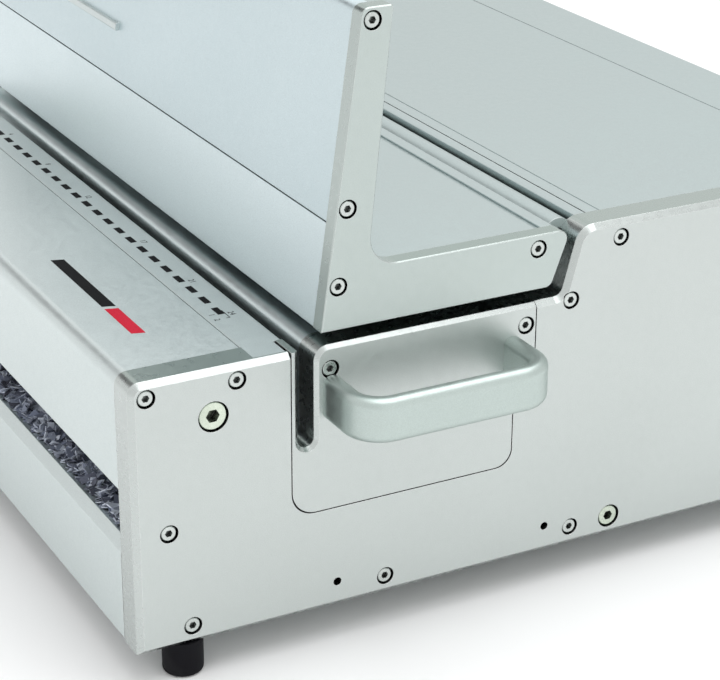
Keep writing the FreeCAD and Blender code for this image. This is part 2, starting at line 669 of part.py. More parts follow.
def camshaft_bearings():
    block = slab_x([(CAM_Y - 18, 62, 3), (CAM_Y + 18, 62, 3), (CAM_Y + 18, 106, 6), (CAM_Y - 18, 106, 6)],
                   INNER - 12, INNER)
    block = block.cut(rod_x(INNER - 13, INNER + 1, CAM_Y, CAM_Z, SHAFT_R + FIT))
    return Part.makeCompound(both_sides(block))


def gear_motor():
    gearbox = slab_x([(PINION_Y - 34, 46, 4), (PINION_Y + 34, 46, 4), (PINION_Y + 34, 122, 4),
                      (PINION_Y - 34, 122, 4)], -170, -126)
    body = gearbox.fuse(rod_x(-126, 40, PINION_Y, CAM_Z, MOTOR_R))
    body = body.fuse(rod_x(40, 48, PINION_Y, CAM_Z, 12.0))
    return body.cut(rod_x(-171, -155, PINION_Y, CAM_Z, PINION_SHAFT_R + FIT))


def motor_cradle():
    foot = box(-168, -128, PINION_Y - 30, PINION_Y + 30, BASE_Z[1], 46)
    arch = box(10, 22, PINION_Y - 30, PINION_Y + 30, BASE_Z[1], 84)
    arch = arch.cut(rod_x(0, 30, PINION_Y, CAM_Z, MOTOR_R))
    return Part.makeCompound([foot, arch])


def power_supply():
    case = box(60, 180, 300, 400, BASE_Z[1] + 4, 58)
    feet = [rod_z(BASE_Z[1], BASE_Z[1] + 4, x, y, 4) for x in (68, 172) for y in (308, 392)]
    for foot in feet:
        case = case.fuse(foot)
    return case


def control_board():
    board = box(60, 180, 205, 285, BASE_Z[1] + 6, BASE_Z[1] + 7.6)
    for x in (66, 174):
        for y in (211, 279):
            board = board.fuse(rod_z(BASE_Z[1], BASE_Z[1] + 6, x, y, 3))
    for i in range(4):
        board = board.fuse(box(72 + 26 * i, 88 + 26 * i, 225, 245, BASE_Z[1] + 7.6, BASE_Z[1] + 12))
    return board.fuse(box(80, 160, 260, 274, BASE_Z[1] + 7.6, BASE_Z[1] + 18))


def slide_rails():
    """Two ledges that carry the cassette, and a stop block over each end of the drawer front."""
    ledges = [box(-INNER, INNER, 84, 96, 45.5, BED_Z[0] - GAP),
              box(-INNER, INNER, 110, 123, 45.5, BED_Z[0] - GAP)]
    stop = box(INNER - 8.5, INNER, 11, 21, 52.0, 61.5)
    stop = cut(stop, tapped(SCREWS["stop"], M4_SHANK, M4_IN))
    return Part.makeCompound(ledges + both_sides(stop))


# ---- die cassette --------------------------------------------------------------------------------
def die_end_plate():
    """End plate of the cassette: it fills the bay, and the slot runs through it."""
    plate = slab_x(bay_outline(SEAM), INNER + 0.1, HALF)
    plate = plate.cut(throat_slot(INNER - 1, HALF + 1, FRONT_H + 5))
    corner = [e for e in plate.Edges if abs(e.CenterOfMass.y - THROAT_Y[1]) < 0.01
              and abs(e.CenterOfMass.z - FRONT_H) < 0.01]
    plate = plate.makeFillet(LEAD_IN, corner)
    edges = outer_face(plate).OuterWire.Edges
    rim = [e for e in edges if e.CenterOfMass.z > THROAT_Z - 1
           and THROAT_Y[0] - 0.01 <= e.CenterOfMass.y <= THROAT_Y[1] + 0.01]
    top = [e for e in edges if e.CenterOfMass.z > FRONT_H - LEAD_IN
           and e.CenterOfMass.y > THROAT_Y[1] + 0.01 and e.BoundBox.YLength > 1]
    plate = plate.makeChamfer(SLOT_RIM, rim + top)
    tools = screw_holes(DIE_SCREWS, M4_BORE, M4_SEAT, M4_SHANK + 0.25)
    tools += [rod_x(INNER - 1, HALF + 1, y, HANDLE_Z, HANDLE_SCREW_R) for y in HANDLE_FEET]
    return cut(plate, tools)


def die_handle():
    """Flat bow handle with rounded corners and edges."""
    y0, y1 = HANDLE_Y
    low, high = HANDLE_Z - HANDLE_H / 2, HANDLE_Z + HANDLE_H / 2
    out = HALF + HANDLE_OUT
    bend = HANDLE_CORNER - HANDLE_T
    outer = slab_z([(HALF, y0, 0), (HALF, y1, 0), (out, y1, HANDLE_CORNER), (out, y0, HANDLE_CORNER)],
                   low, high)
    inner = slab_z([(HALF - 1, y0 + HANDLE_T, 0), (HALF - 1, y1 - HANDLE_T, 0),
                    (out - HANDLE_T, y1 - HANDLE_T, bend), (out - HANDLE_T, y0 + HANDLE_T, bend)],
                   low - 1, high + 1)
    handle = outer.cut(inner)
    rims = [e for e in handle.Edges if e.BoundBox.ZLength < 0.01 and e.BoundBox.XMax > HALF + 0.01]
    handle = handle.makeFillet(HANDLE_ROUND, rims)
    return cut(handle, [rod_x(HALF - 1, HALF + 14, y, HANDLE_Z, HANDLE_SCREW_R) for y in HANDLE_FEET])


def die_screws():
    """Cap screws of the end plate, and the two that hold the handle from behind it."""
    depth = M4_SEAT - M4_HEAD_H
    screws = [cap_screw(y, z, M4_HEAD, M4_HEAD_H, M4_SHANK, M4_LENGTH, depth) for y, z in DIE_SCREWS]
    for y in HANDLE_FEET:
        screws.append(rod_x(INNER - 4.9, INNER + 0.1, y, HANDLE_Z, 4.2).fuse(
            rod_x(INNER + 0.1, HALF + 14, y, HANDLE_Z, HANDLE_SCREW_R)))
    return Part.makeCompound(screws)


def pin_boxes(y0, y1, clearance=0.0):
    """One box per comb hole, as long as a pin or as its hole."""
    w, h = PIN_W / 2 + clearance, PIN_H / 2 + clearance
    return [box(x - w, x + w, y0, y1, PIN_Z - h, PIN_Z + h) for x in pin_places()]


def female_die():
    die = box(CASSETTE_X, INNER + 0.1, 74.5, THROAT_Y[0], DIE_LOW, 124.7)
    return cut(die, pin_boxes(74, 79, FIT))


def die_bed():
    return box(CASSETTE_X, INNER + 0.1, THROAT_Y[0], 124, BED_Z[0], BED_Z[1])


def throat_bar():
    """Guide bar behind the slot, with a large rounded upper edge that leads the paper in."""
    bar = slab_x([(THROAT_BAR_Y[0], THROAT_Z, 0), (THROAT_BAR_Y[1], THROAT_Z, 0),
                  (THROAT_BAR_Y[1], FRONT_H - 0.5, 0), (THROAT_BAR_Y[0], FRONT_H - 0.5, LEAD_IN)],
                 CASSETTE_X, INNER + 0.1)
    holes = pin_boxes(80, 104, FIT)
    pockets = [rod_x(INNER - 5.4, INNER + 1, HANDLE_FEET[0], HANDLE_Z, 5.0)]
    screws = tapped([DIE_SCREWS[0]], M4_SHANK, M4_IN)
    return cut(bar, holes + pockets + screws)


def die_top_plate():
    plate = slab_x([(THROAT_BAR_Y[1], 123, 0), (186.5, 123, 0), (186.5, 110, 0), (197.5, 110, 0),
                    (197.5, FRONT_H - 0.5, 0), (THROAT_BAR_Y[1], FRONT_H - 0.5, 0)], CASSETTE_X, INNER + 0.1)
    return cut(plate, tapped([DIE_SCREWS[1]], M4_SHANK, M4_IN))


# ---- pin carrier ---------------------------------------------------------------------------------
def pin_carrier():
    body = box(CASSETTE_X, INNER - 6, CARRIER_Y[0], CARRIER_Y[1], 82.8, 104.4)
    cavity = box(CASSETTE_X - 1, INNER, 124.3, 130.1, 86.1, 100.9)
    mouth = box(CASSETTE_X - 1, INNER, 129, 135, 90.1, 96.9)
    return cut(body, [cavity, mouth] + pin_boxes(110, 120))


def punch_pins():
    return Part.makeCompound(pin_boxes(86.6, 120))


# ---- chip drawer ---------------------------------------------------------------------------------
def drawer_front():
    return slab_x([(0, 0.8, 0.8), (8, 0.8, 0), (8, DRAWER_TOP, 0.6), (DRAWER_SLOPE, DRAWER_TOP, 0.4),
                   (0, DRAWER_TOP - DRAWER_SLOPE, 0.4)], -INNER + 0.6, INNER - 0.6)


def drawer_tray():
    y0, y1, z0, z1 = TRAY
    tray = box(-TRAY_X, TRAY_X, y0, y1, z0, z1)
    x = TRAY_X - SHEET_T
    return tray.cut(box(-x, x, y0 + SHEET_T, y1 - SHEET_T, z0 + SHEET_T, z1 + 5))


def paper_chips():
    """Heap of punched chips, highest under the chutes."""
    low = TRAY[2] + SHEET_T
    near = TRAY[0] + SHEET_T + 0.2
    return slab_x([(near, low, 0), (120, low, 0), (120, low + 5, 0), (82, 42, 12), (62, 57, 10),
                   (36, 53, 20), (near, 46, 0)], -HEAP_X, HEAP_X)


# ---- paper rest ----------------------------------------------------------------------------------
def front_y(z):
    """Front edge of the leaning panel at height z."""
    return LEAN_Y[0] + (z - LID_BOTTOM) * (LEAN_Y[1] - LEAN_Y[0]) / (LID_TOP - LID_BOTTOM)


def cheek():
    corners = [(LEAN_Y[0], LID_BOTTOM, 0), (204.7, LID_BOTTOM, 4), (214.6, DECK_Z, 4.5),
               (111.4, DECK_Z, 13), (122.6, LID_TOP, 1.2), (front_y(LID_TOP), LID_TOP, 4)]
    plate = slab_x(corners, LID_INNER, HALF)
    plate = chamfer_outer(plate, 0.45)
    tools = screw_holes(CHEEK_SCREWS, M4_BORE, LID_SEAT, M4_SHANK + 0.25)
    return cut(plate, tools)


def cheek_screws():
    screws = []
    for y, z in CHEEK_SCREWS:
        screws += both_sides(cap_screw(y, z, M4_HEAD, M4_HEAD_H, M4_SHANK, LID_SCREW, LID_SEAT - M4_HEAD_H))
    return Part.makeCompound(screws)


def cheek_tapped(shape, points):
    tools = tapped(points, M4_SHANK, LID_SCREW - (CHEEK_T - LID_SEAT), LID_INNER)
    return cut(shape, tools + [mirror_x(t) for t in tools])


def upper_panel():
    """Leaning plate, rounded along its top, thick enough at the ends for the screws."""
    z0, z1 = PANEL_SEAM + HALF_SEAM, LID_TOP - 0.6
    y0, y1 = front_y(z0) + 0.3, front_y(z1) + 0.3
    panel = slab_x([(y0, z0, 0.3), (y0 + 10, z0, 0), (y1 + 10, z1, 3), (y1, z1, 4)], -LID_INNER, LID_INNER)
    return cheek_tapped(panel, CHEEK_SCREWS[:2])


def lower_panel():
    z0, z1 = LID_BOTTOM + 0.1, PANEL_SEAM - HALF_SEAM
    y0, y1 = front_y(z0) + 0.1, front_y(z1) + 0.3
    panel = slab_x([(y0, z0, 0.4), (y0 + 12, z0, 0), (y1 + 9.5, z1, 0), (y1, z1, 0.3)],
                   -LID_INNER, LID_INNER)
    return cheek_tapped(panel, [CHEEK_SCREWS[2]])


def lid_deck():
    return slab_x([(106.6, DECK_Z - 4.5, 0), (DECK_END, DECK_Z - 4.5, 0), (DECK_END, DECK_Z - 0.1, 1.2),
                   (107.5, DECK_Z - 0.1, 0)], -LID_INNER, LID_INNER)


def lid_hinge_bar():
    """Rear bar of the paper rest: stepped ledge, screw boss and hinge barrel in one extrusion."""
    under = DECK_Z - 4.7
    top, step = 161.2, 160.2
    ledge = slab_x([(190, 149.5, 1), (204, 149.5, 1), (211.4, 154.0, 0), (213.2, 158.5, 0),
                    (209.5, top, 0.5), (203.4, top, 0.6), (203.4, step, 0), (DECK_END + 0.1, step, 0),
                    (DECK_END + 0.1, under, 0), (190, under, 0)], -LID_INNER, LID_INNER)
    bar = ledge.fuse(rod_x(-INNER, INNER, HINGE_Y, HINGE_Z, HINGE_R))
    bar = bar.cut(rod_x(-INNER - 1, INNER + 1, HINGE_Y, HINGE_Z, HINGE_PIN_R + FIT))
    reach = 3 * HINGE_R
    sector = [(HINGE_Y, HINGE_Z, 0)]
    for degrees in (-134, -88, -42, 4):
        a = math.radians(degrees)
        sector.append((HINGE_Y + reach * math.cos(a), HINGE_Z + reach * math.sin(a), 0))
    for x in KNUCKLES:
        ring = rod_x(x - 6.4, x + 6.4, HINGE_Y, HINGE_Z, 5.4)
        bar = bar.cut(ring).cut(slab_x(sector, x - 6.4, x + 6.4))
    return cheek_tapped(bar, [CHEEK_SCREWS[3]])


def guide_rail():
    """Raised rail along the upper panel, on which the edge guide slides."""
    z0, z1 = RAIL_Z
    return slab_x([(front_y(z0) - RAIL_OUT, z0, 0.8), (front_y(z0) + 0.3, z0, 0), (front_y(z1) + 0.3, z1, 0),
                   (front_y(z1) - RAIL_OUT, z1, 0.8)], RAIL_X[0], RAIL_X[1])


def edge_guide():
    """Paper stop that clips over the rail."""
    z0, z1 = GUIDE_Z_AT
    x0, x1 = GUIDE_X_AT
    body = slab_x([(front_y(z0) - 10, z0, 2.5), (front_y(z0) - 0.1, z0, 0), (front_y(z1) - 0.1, z1, 0),
                   (front_y(z1) - 10, z1, 2.5)], x0, x1)
    low, high = RAIL_Z[0] - GAP, RAIL_Z[1] + GAP
    reach = RAIL_OUT + 0.4
    groove = slab_x([(front_y(low) - reach, low, 0), (front_y(low) + 1, low, 0),
                     (front_y(high) + 1, high, 0), (front_y(high) - reach, high, 0)], x0 - 1, x1 + 1)
    return body.cut(groove)


# ---- output --------------------------------------------------------------------------------------
NODES = {
    "right_side_plate": right_side_plate, "left_side_plate": left_side_plate,
    "side_plate_screws": side_plate_screws, "tie_bolts": tie_bolts, "base_plate": base_plate,
    "rubber_feet": rubber_feet, "front_cover": front_cover, "ruler_strip": ruler_strip,
    "tie_bars": tie_bars, "die_support_bar": die_support_bar,
    "hinge_rail": hinge_rail, "hinge_pins": hinge_pins,
    "top_cover": top_cover, "rear_cover": rear_cover, "connector_panel": connector_panel,
    "mains_inlet": mains_inlet, "fuse_holder": fuse_holder, "pedal_socket": pedal_socket,
    "switch_frame": switch_frame, "power_rocker": power_rocker, "button_bezel": button_bezel,
    "punch_button": punch_button, "cross_member": cross_member, "guide_shafts": guide_shafts,
    "camshaft_bearings": camshaft_bearings, "gear_motor": gear_motor, "motor_cradle": motor_cradle,
    "power_supply": power_supply, "control_board": control_board, "slide_rails": slide_rails,
    "ram": ram, "ram_bushes": ram_bushes, "roller_axles": roller_axles,
    "camshaft": camshaft, "cams": cams, "cam_gear": cam_gear, "motor_pinion": motor_pinion,
    "die_end_plate": die_end_plate, "die_handle": die_handle, "die_screws": die_screws,
    "female_die": female_die, "die_bed": die_bed,
    "throat_bar": throat_bar, "die_top_plate": die_top_plate, "pin_carrier": pin_carrier,
    "punch_pins": punch_pins, "drawer_front": drawer_front, "drawer_tray": drawer_tray,
    "paper_chips": paper_chips, "cheek_screws": cheek_screws, "upper_panel": upper_panel,
    "lower_panel": lower_panel, "lid_deck": lid_deck, "lid_hinge_bar": lid_hinge_bar,
    "guide_rail": guide_rail, "edge_guide": edge_guide,
}
for node, make in NODES.items():
    save(node, make())
for side, label in ((1, "right"), (-1, "left")):
    save(label + "_cheek", cheek() if side > 0 else mirror_x(cheek()))
    save(label + "_cam_roller", cam_roller(side))
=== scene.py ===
# Looks of an electric comb-binding punch: materials, printed scale, paper chips, studio and camera.
import json
import math
import random

import bmesh
import bpy
from mathutils import Matrix, Vector


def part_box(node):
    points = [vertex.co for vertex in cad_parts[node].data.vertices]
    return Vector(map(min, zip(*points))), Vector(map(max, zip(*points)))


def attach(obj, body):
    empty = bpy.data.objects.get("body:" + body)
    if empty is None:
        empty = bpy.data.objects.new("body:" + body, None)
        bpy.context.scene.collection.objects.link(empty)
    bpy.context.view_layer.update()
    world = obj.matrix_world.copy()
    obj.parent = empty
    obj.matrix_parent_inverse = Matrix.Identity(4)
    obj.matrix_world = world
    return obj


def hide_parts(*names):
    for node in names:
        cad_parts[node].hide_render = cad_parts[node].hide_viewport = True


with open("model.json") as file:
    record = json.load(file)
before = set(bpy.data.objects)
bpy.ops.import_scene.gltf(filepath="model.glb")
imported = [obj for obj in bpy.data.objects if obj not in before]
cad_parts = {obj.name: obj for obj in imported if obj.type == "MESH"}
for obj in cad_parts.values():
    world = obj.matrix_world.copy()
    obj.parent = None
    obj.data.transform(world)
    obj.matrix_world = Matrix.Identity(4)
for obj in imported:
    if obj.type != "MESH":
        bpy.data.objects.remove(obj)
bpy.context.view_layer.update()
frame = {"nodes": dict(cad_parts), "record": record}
nodes = frame["nodes"]
MM = 0.001

# ---- places taken from the frame -------------------------------------------------------------------
PLATE_LOW, PLATE_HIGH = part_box("right_side_plate")
RIGHT, FRONT, BOTTOM = PLATE_HIGH.x, PLATE_LOW.y, PLATE_LOW.z
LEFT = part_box("left_side_plate")[0].x
MIDDLE = (LEFT + RIGHT) / 2
PIN_PITCH = 14.2875 * MM
PIN_COUNT = 24


def at(x, y, z):
    """A point in millimetres from the right plate's outer, front, bottom corner."""
    return Vector((RIGHT + x * MM, FRONT + y * MM, BOTTOM + z * MM))


# ---- mesh helpers ----------------------------------------------------------------------------------
def new_object(name, bm, material=None, smooth=False):
    """Mesh object made from a bmesh, which is freed."""
    mesh = bpy.data.meshes.new(name)
    bmesh.ops.recalc_face_normals(bm, faces=bm.faces)
    bm.to_mesh(mesh)
    bm.free()
    for polygon in mesh.polygons:
        polygon.use_smooth = smooth
    obj = bpy.data.objects.new(name, mesh)
    bpy.context.scene.collection.objects.link(obj)
    if material:
        mesh.materials.append(material)
    return obj


def add_prism(bm, outline, low, high):
    """Closed prism over a flat (x, y) outline between two heights."""
    bottom = [bm.verts.new((x, y, low)) for x, y in outline]
    top = [bm.verts.new((x, y, high)) for x, y in outline]
    bm.faces.new(list(reversed(bottom)))
    bm.faces.new(top)
    count = len(outline)
    for i in range(count):
        j = (i + 1) % count
        bm.faces.new((bottom[i], bottom[j], top[j], top[i]))


def rectangle(x0, x1, y0, y1):
    return [(x0, y0), (x1, y0), (x1, y1), (x0, y1)]


# ---- material helpers ------------------------------------------------------------------------------
EDGE_SOFT = 0.4 * MM                     # width of the softened edges of aluminium and plastic
HOLE_SHADE_ALUMINIUM = (0.012, 0.013, 0.013)   # painted shade deep in holes and slots
# Painted shade deep in the holes and hex sockets of steel parts.
HOLE_SHADE_STEEL = (0.01, 0.01, 0.01)
# Near white on edges: partly wear, partly painted highlight.
WORN_EDGE_AND_HIGHLIGHT = (0.95, 0.96, 0.95)
MILL_MARK = (0.42, 0.45, 0.44)
TOP_FACE_SHADE = (0.68, 0.74, 0.71)       # painted shade on milled faces that look up, darker than the flat sides


def scaled(colour, factor):
    return tuple(c * factor for c in colour)


class Nodes:
    """Small wrapper that adds and links shader nodes."""

    def __init__(self, name):
        self.material = bpy.data.materials.new(name)
        self.material.use_nodes = True
        self.tree = self.material.node_tree
        self.shader = self.tree.nodes["Principled BSDF"]

    def add(self, kind, **settings):
        node = self.tree.nodes.new(kind)
        for key, value in settings.items():
            setattr(node, key, value)
        return node

    def link(self, source, target):
        self.tree.links.new(source, target)

    def coordinates(self, scale):
        """Object coordinates, stretched."""
        place = self.add("ShaderNodeTexCoord")
        mapping = self.add("ShaderNodeMapping")
        mapping.inputs["Scale"].default_value = scale
        self.link(place.outputs["Object"], mapping.inputs["Vector"])
        return mapping.outputs["Vector"]

    def noise(self, scale, stretch=(1, 1, 1), detail=3.0):
        node = self.add("ShaderNodeTexNoise")
        node.inputs["Scale"].default_value = scale
        node.inputs["Detail"].default_value = detail
        node.inputs["Roughness"].default_value = 0.55
        self.link(self.coordinates(stretch), node.inputs["Vector"])
        return node.outputs["Fac"]

    def spread(self, source, low, high, start=0.3, end=0.7):
        """Map a 0..1 value on to low..high."""
        node = self.add("ShaderNodeMapRange")
        node.inputs["From Min"].default_value = start
        node.inputs["From Max"].default_value = end
        node.inputs["To Min"].default_value = low
        node.inputs["To Max"].default_value = high
        self.link(source, node.inputs["Value"])
        return node.outputs["Result"]

    def blend(self, factor, first, second):
        """Mix of two colours by a factor socket; each colour is a tuple or a socket."""
        node = self.add("ShaderNodeMix", data_type="RGBA")
        self.link(factor, node.inputs["Factor"])
        for value, socket in ((first, node.inputs["A"]), (second, node.inputs["B"])):
            if isinstance(value, tuple):
                socket.default_value = (*value, 1.0)
            else:
                self.link(value, socket)
        return node.outputs["Result"]

    def math(self, operation, first, second=None):
        """Math node on one or two values; each is a number or a socket."""
        node = self.add("ShaderNodeMath", operation=operation)
        for value, socket in zip((first, second), node.inputs):
            if value is None:
                continue
            if isinstance(value, (int, float)):
                socket.default_value = value
            else:
                self.link(value, socket)
        return node.outputs["Value"]

    def bump(self, heights, edge=0.0):
        """Bump from (height socket, strength, distance) entries, over softened edges."""
        normal = None
        if edge:
            bevel = self.add("ShaderNodeBevel", samples=4)
            bevel.inputs["Radius"].default_value = edge
            normal = bevel.outputs["Normal"]
        for height, strength, distance in heights:
            node = self.add("ShaderNodeBump")
            node.inputs["Strength"].default_value = strength
            node.inputs["Distance"].default_value = distance
            self.link(height, node.inputs["Height"])
            if normal:
                self.link(normal, node.inputs["Normal"])
            normal = node.outputs["Normal"]
        self.link(normal, self.shader.inputs["Normal"])

    def crevice_mask(self, distance):
        """Painted shade mask from ambient occlusion: 1 in the open, 0 deep in holes and slots."""
        occlusion = self.add("ShaderNodeAmbientOcclusion", samples=14)
        occlusion.inputs["Distance"].default_value = distance
        return self.spread(occlusion.outputs["AO"], 0.0, 1.0, 0.12, 0.45)

    def facing(self, axis, start, end):
        """1 on faces that look along the axis, either way, and 0 beyond the given slant."""
        geometry = self.add("ShaderNodeNewGeometry")
        split = self.add("ShaderNodeSeparateXYZ")
        self.link(geometry.outputs["True Normal"], split.inputs["Vector"])
        return self.spread(self.math("ABSOLUTE", split.outputs[axis]), 0.0, 1.0, start, end)

    def edge_mask(self, radius):
        """1 on edges, 0 on flats: how far the softened normal leaves the true one."""
        bevel = self.add("ShaderNodeBevel", samples=4)
        bevel.inputs["Radius"].default_value = radius
        geometry = self.add("ShaderNodeNewGeometry")
        dot = self.add("ShaderNodeVectorMath", operation="DOT_PRODUCT")
        self.link(bevel.outputs["Normal"], dot.inputs[0])
        self.link(geometry.outputs["True Normal"], dot.inputs[1])
        return self.spread(dot.outputs["Value"], 1.0, 0.0, 0.75, 0.98)


def blasted_aluminium(name, tint, rough=0.42, grain=(1, 1, 1), grain_scale=2600.0, depth=0.05,
                      shaded_milled_edges=False, crevice=0.005):
    """Clear anodised aluminium: blasted or machined grain, faint handling marks, edges lightened as wear
    and painted highlight, optional painted shade on up-facing milled faces and in holes.
    """
    n = Nodes(name)
    fine = n.noise(grain_scale, grain, detail=2.0)
    medium = n.noise(260.0, grain, detail=3.0)
    broad = n.noise(9.0, detail=3.0)
    colour = n.blend(n.spread(fine, 0.0, 1.0), scaled(tint, 0.90), scaled(tint, 1.07))
    colour = n.blend(n.spread(broad, 0.0, 0.35), colour, scaled(tint, 0.94))
    roughness = n.math("ADD", n.spread(medium, rough - 0.04, rough + 0.04), n.spread(broad, -0.03, 0.03))
    # Painted shade: faces that don't look sideways are darkened a little, and faces that look up more,
    # under real milling marks.
    if shaded_milled_edges:
        side = n.facing("X", 0.88, 0.96)
        top = tuple(c * f for c, f in zip(tint, TOP_FACE_SHADE))
        milled_and_shaded = n.blend(n.facing("Z", 0.86, 0.96), scaled(tint, 0.94), top)
        marks = n.noise(1300.0, (1, 0.1, 1), detail=2.0)
        milled_and_shaded = n.blend(n.spread(marks, 0.0, 0.18), milled_and_shaded, MILL_MARK)
        colour = n.blend(side, milled_and_shaded, colour)
        roughness = n.math("SUBTRACT", roughness, n.math("SUBTRACT", 0.14, n.math("MULTIPLY", side, 0.14)))
    # Edges lightened towards near white: partly wear, partly painted highlight.
    colour = n.blend(n.spread(n.edge_mask(EDGE_SOFT), 0.0, 0.75, 0.0, 1.0), colour, WORN_EDGE_AND_HIGHLIGHT)
    # Painted shade: the colour goes dark deep in holes and slots.
    if crevice:
        colour = n.blend(n.crevice_mask(crevice), HOLE_SHADE_ALUMINIUM, colour)
    n.link(colour, n.shader.inputs["Base Color"])
    n.shader.inputs["Metallic"].default_value = 1.0
    n.link(roughness, n.shader.inputs["Roughness"])
    n.bump([(fine, depth, 0.0002), (medium, depth * 0.6, 0.0004)], edge=EDGE_SOFT)
    return n.material


def plain_steel(name, tint, rough=0.28, grain=(1, 1, 1), crevice=0.004):
    """Ground or plated steel with a directional grain, slight staining and painted shade deep in holes and
    sockets.
    """
    n = Nodes(name)
    fine = n.noise(900.0, grain, detail=3.0)
    stain = n.noise(60.0, detail=4.0)
    base = n.blend(n.spread(fine, 0.0, 1.0), scaled(tint, 0.85), tint)
    stained = n.blend(n.spread(stain, 0.0, 0.4, 0.45, 0.75), base, scaled(tint, 0.6))
    # Painted shade: dark deep in holes and hex sockets.
    shaded_colour = n.blend(n.crevice_mask(crevice), HOLE_SHADE_STEEL, stained)
    n.link(shaded_colour, n.shader.inputs["Base Color"])
    n.shader.inputs["Metallic"].default_value = 1.0
    n.link(n.spread(fine, rough - 0.05, rough + 0.08), n.shader.inputs["Roughness"])
    n.bump([(fine, 0.08, 0.0002)], edge=0.0003)
    return n.material


def moulded(name, colour, rough=0.5, depth=0.15, gloss=0.5):
    """Moulded rubber or plastic: fine texture, dust in the broad marks, softened edges."""
    n = Nodes(name)
    fine = n.noise(1800.0, detail=2.0)
    dust = n.noise(45.0, detail=4.0)
    base = n.blend(n.spread(dust, 0.0, 0.35, 0.45, 0.8), colour, tuple(c * 0.7 + 0.05 for c in colour))
    n.link(base, n.shader.inputs["Base Color"])
    n.link(n.spread(dust, rough - 0.06, rough + 0.08), n.shader.inputs["Roughness"])
    n.shader.inputs["Specular IOR Level"].default_value = gloss
    n.bump([(fine, depth, 0.0002)], edge=EDGE_SOFT)
    return n.material


def ink(name, colour):
    """Screen-printed ink: slightly uneven cover."""
    n = Nodes(name)
    speckle = n.noise(1500.0, detail=3.0)
    n.link(n.blend(n.spread(speckle, 0.0, 1.0), colour, tuple(c * 0.8 + 0.006 for c in colour)),
           n.shader.inputs["Base Color"])
    n.link(n.spread(speckle, 0.42, 0.55), n.shader.inputs["Roughness"])
    n.shader.inputs["Specular IOR Level"].default_value = 0.04
    n.bump([(speckle, 0.1, 0.0001)])
    return n.material


def paper_mat():
    """Loose white paper: each chip gets a random tone from near black through dark blue to pale blue-white;
    the dark tones are painted shade between chips.
    """
    n = Nodes("chip_paper")
    geometry = n.add("ShaderNodeNewGeometry")
    # Random per chip: pale blue-white paper tones, with dark blue and near black as painted shade among the
    # chips.
    tone_and_shade_ramp = n.add("ShaderNodeValToRGB")
    tone_and_shade_ramp.color_ramp.elements[0].color = (0.015, 0.018, 0.03, 1)
    tone_and_shade_ramp.color_ramp.elements[1].color = (0.82, 0.88, 0.98, 1)
    middle = tone_and_shade_ramp.color_ramp.elements.new(0.42)
    middle.color = (0.15, 0.18, 0.25, 1)
    n.link(geometry.outputs["Random Per Island"], tone_and_shade_ramp.inputs["Fac"])
    fibre = n.noise(3000.0, detail=3.0)
    n.link(n.blend(n.spread(fibre, 0.0, 0.25), tone_and_shade_ramp.outputs["Color"], (0.4, 0.4, 0.5)),
           n.shader.inputs["Base Color"])
    n.link(n.spread(fibre, 0.80, 0.95), n.shader.inputs["Roughness"])
    n.bump([(fibre, 0.2, 0.0001)])
    return n.material


# ---- materials on the CAD nodes --------------------------------------------------------------------
ALONG_X = (0.03, 1, 1)
PLATE = blasted_aluminium("plate_aluminium", (0.56, 0.60, 0.585), 0.42, shaded_milled_edges=True)
# Darker aluminium copy for the lid cheeks: painted shade.
CHEEK_SHADED = blasted_aluminium("cheek_aluminium_shaded", (0.50, 0.56, 0.54), 0.42, shaded_milled_edges=True)
COVER = blasted_aluminium("cover_aluminium", (0.66, 0.72, 0.715), 0.42)
# Darker aluminium copy for the top and rear covers, lid deck and hinge: painted shade on faces that look
# up.
TOP_SHADED = blasted_aluminium("top_aluminium_shaded", (0.47, 0.54, 0.535), 0.42)
# Lighter, bluer aluminium copy for the upper lid panel: painted light.
UPPER_PANEL_LIT = blasted_aluminium("panel_aluminium", (0.64, 0.735, 0.76), 0.42)
# Lighter aluminium copy for the lower lid panel: painted light.
LOWER_PANEL_LIT = blasted_aluminium("lower_panel_aluminium_lit", (0.73, 0.82, 0.84), 0.42)
HANDLE = blasted_aluminium("handle_aluminium", (0.49, 0.56, 0.535), 0.40)
MILLED = blasted_aluminium("bar_aluminium", (0.62, 0.66, 0.66), 0.36, ALONG_X, 900.0, 0.03, crevice=0)
# Lighter aluminium copy for the throat bar: painted highlight, with a smoother finish of its own.
THROAT_BAR_LIT = blasted_aluminium("throat_aluminium_lit", (0.70, 0.78, 0.785), 0.33, crevice=0)
GROUND = plain_steel("ground_steel", (0.58, 0.59, 0.60), 0.24, ALONG_X)
SCREW = plain_steel("screw_steel", (0.62, 0.66, 0.64), 0.25)
BOLT = plain_steel("bolt_steel", (0.67, 0.74, 0.63), 0.27, crevice=0.009)
BRONZE = plain_steel("bearing_bronze", (0.62, 0.45, 0.24), 0.3)
RUBBER = moulded("foot_rubber", (0.006, 0.006, 0.008), 0.62, gloss=0.1)
BLACK = moulded("black_plastic", (0.022, 0.022, 0.025), 0.45)
NICKEL = plain_steel("jack_nickel", (0.72, 0.71, 0.68), 0.18)
GREEN = moulded("button_green", (0.03, 0.36, 0.12), 0.25, depth=0.03)
PAINT = moulded("motor_paint", (0.07, 0.075, 0.08), 0.4)
BOARD = moulded("board_green", (0.02, 0.16, 0.07), 0.35)
TRAY = plain_steel("tray_steel", (0.50, 0.52, 0.53), 0.34, ALONG_X)
PAPER = paper_mat()
# Painted shade: the heap's body under the loose chips is near black, standing for the shade between chips.
CHIP_SHADE = moulded("chip_heap_shade", (0.008, 0.009, 0.012), 0.9, depth=0.3)
INK = ink("black_ink", (0.004, 0.004, 0.005))
RED_INK = ink("red_ink", (0.55, 0.015, 0.04))

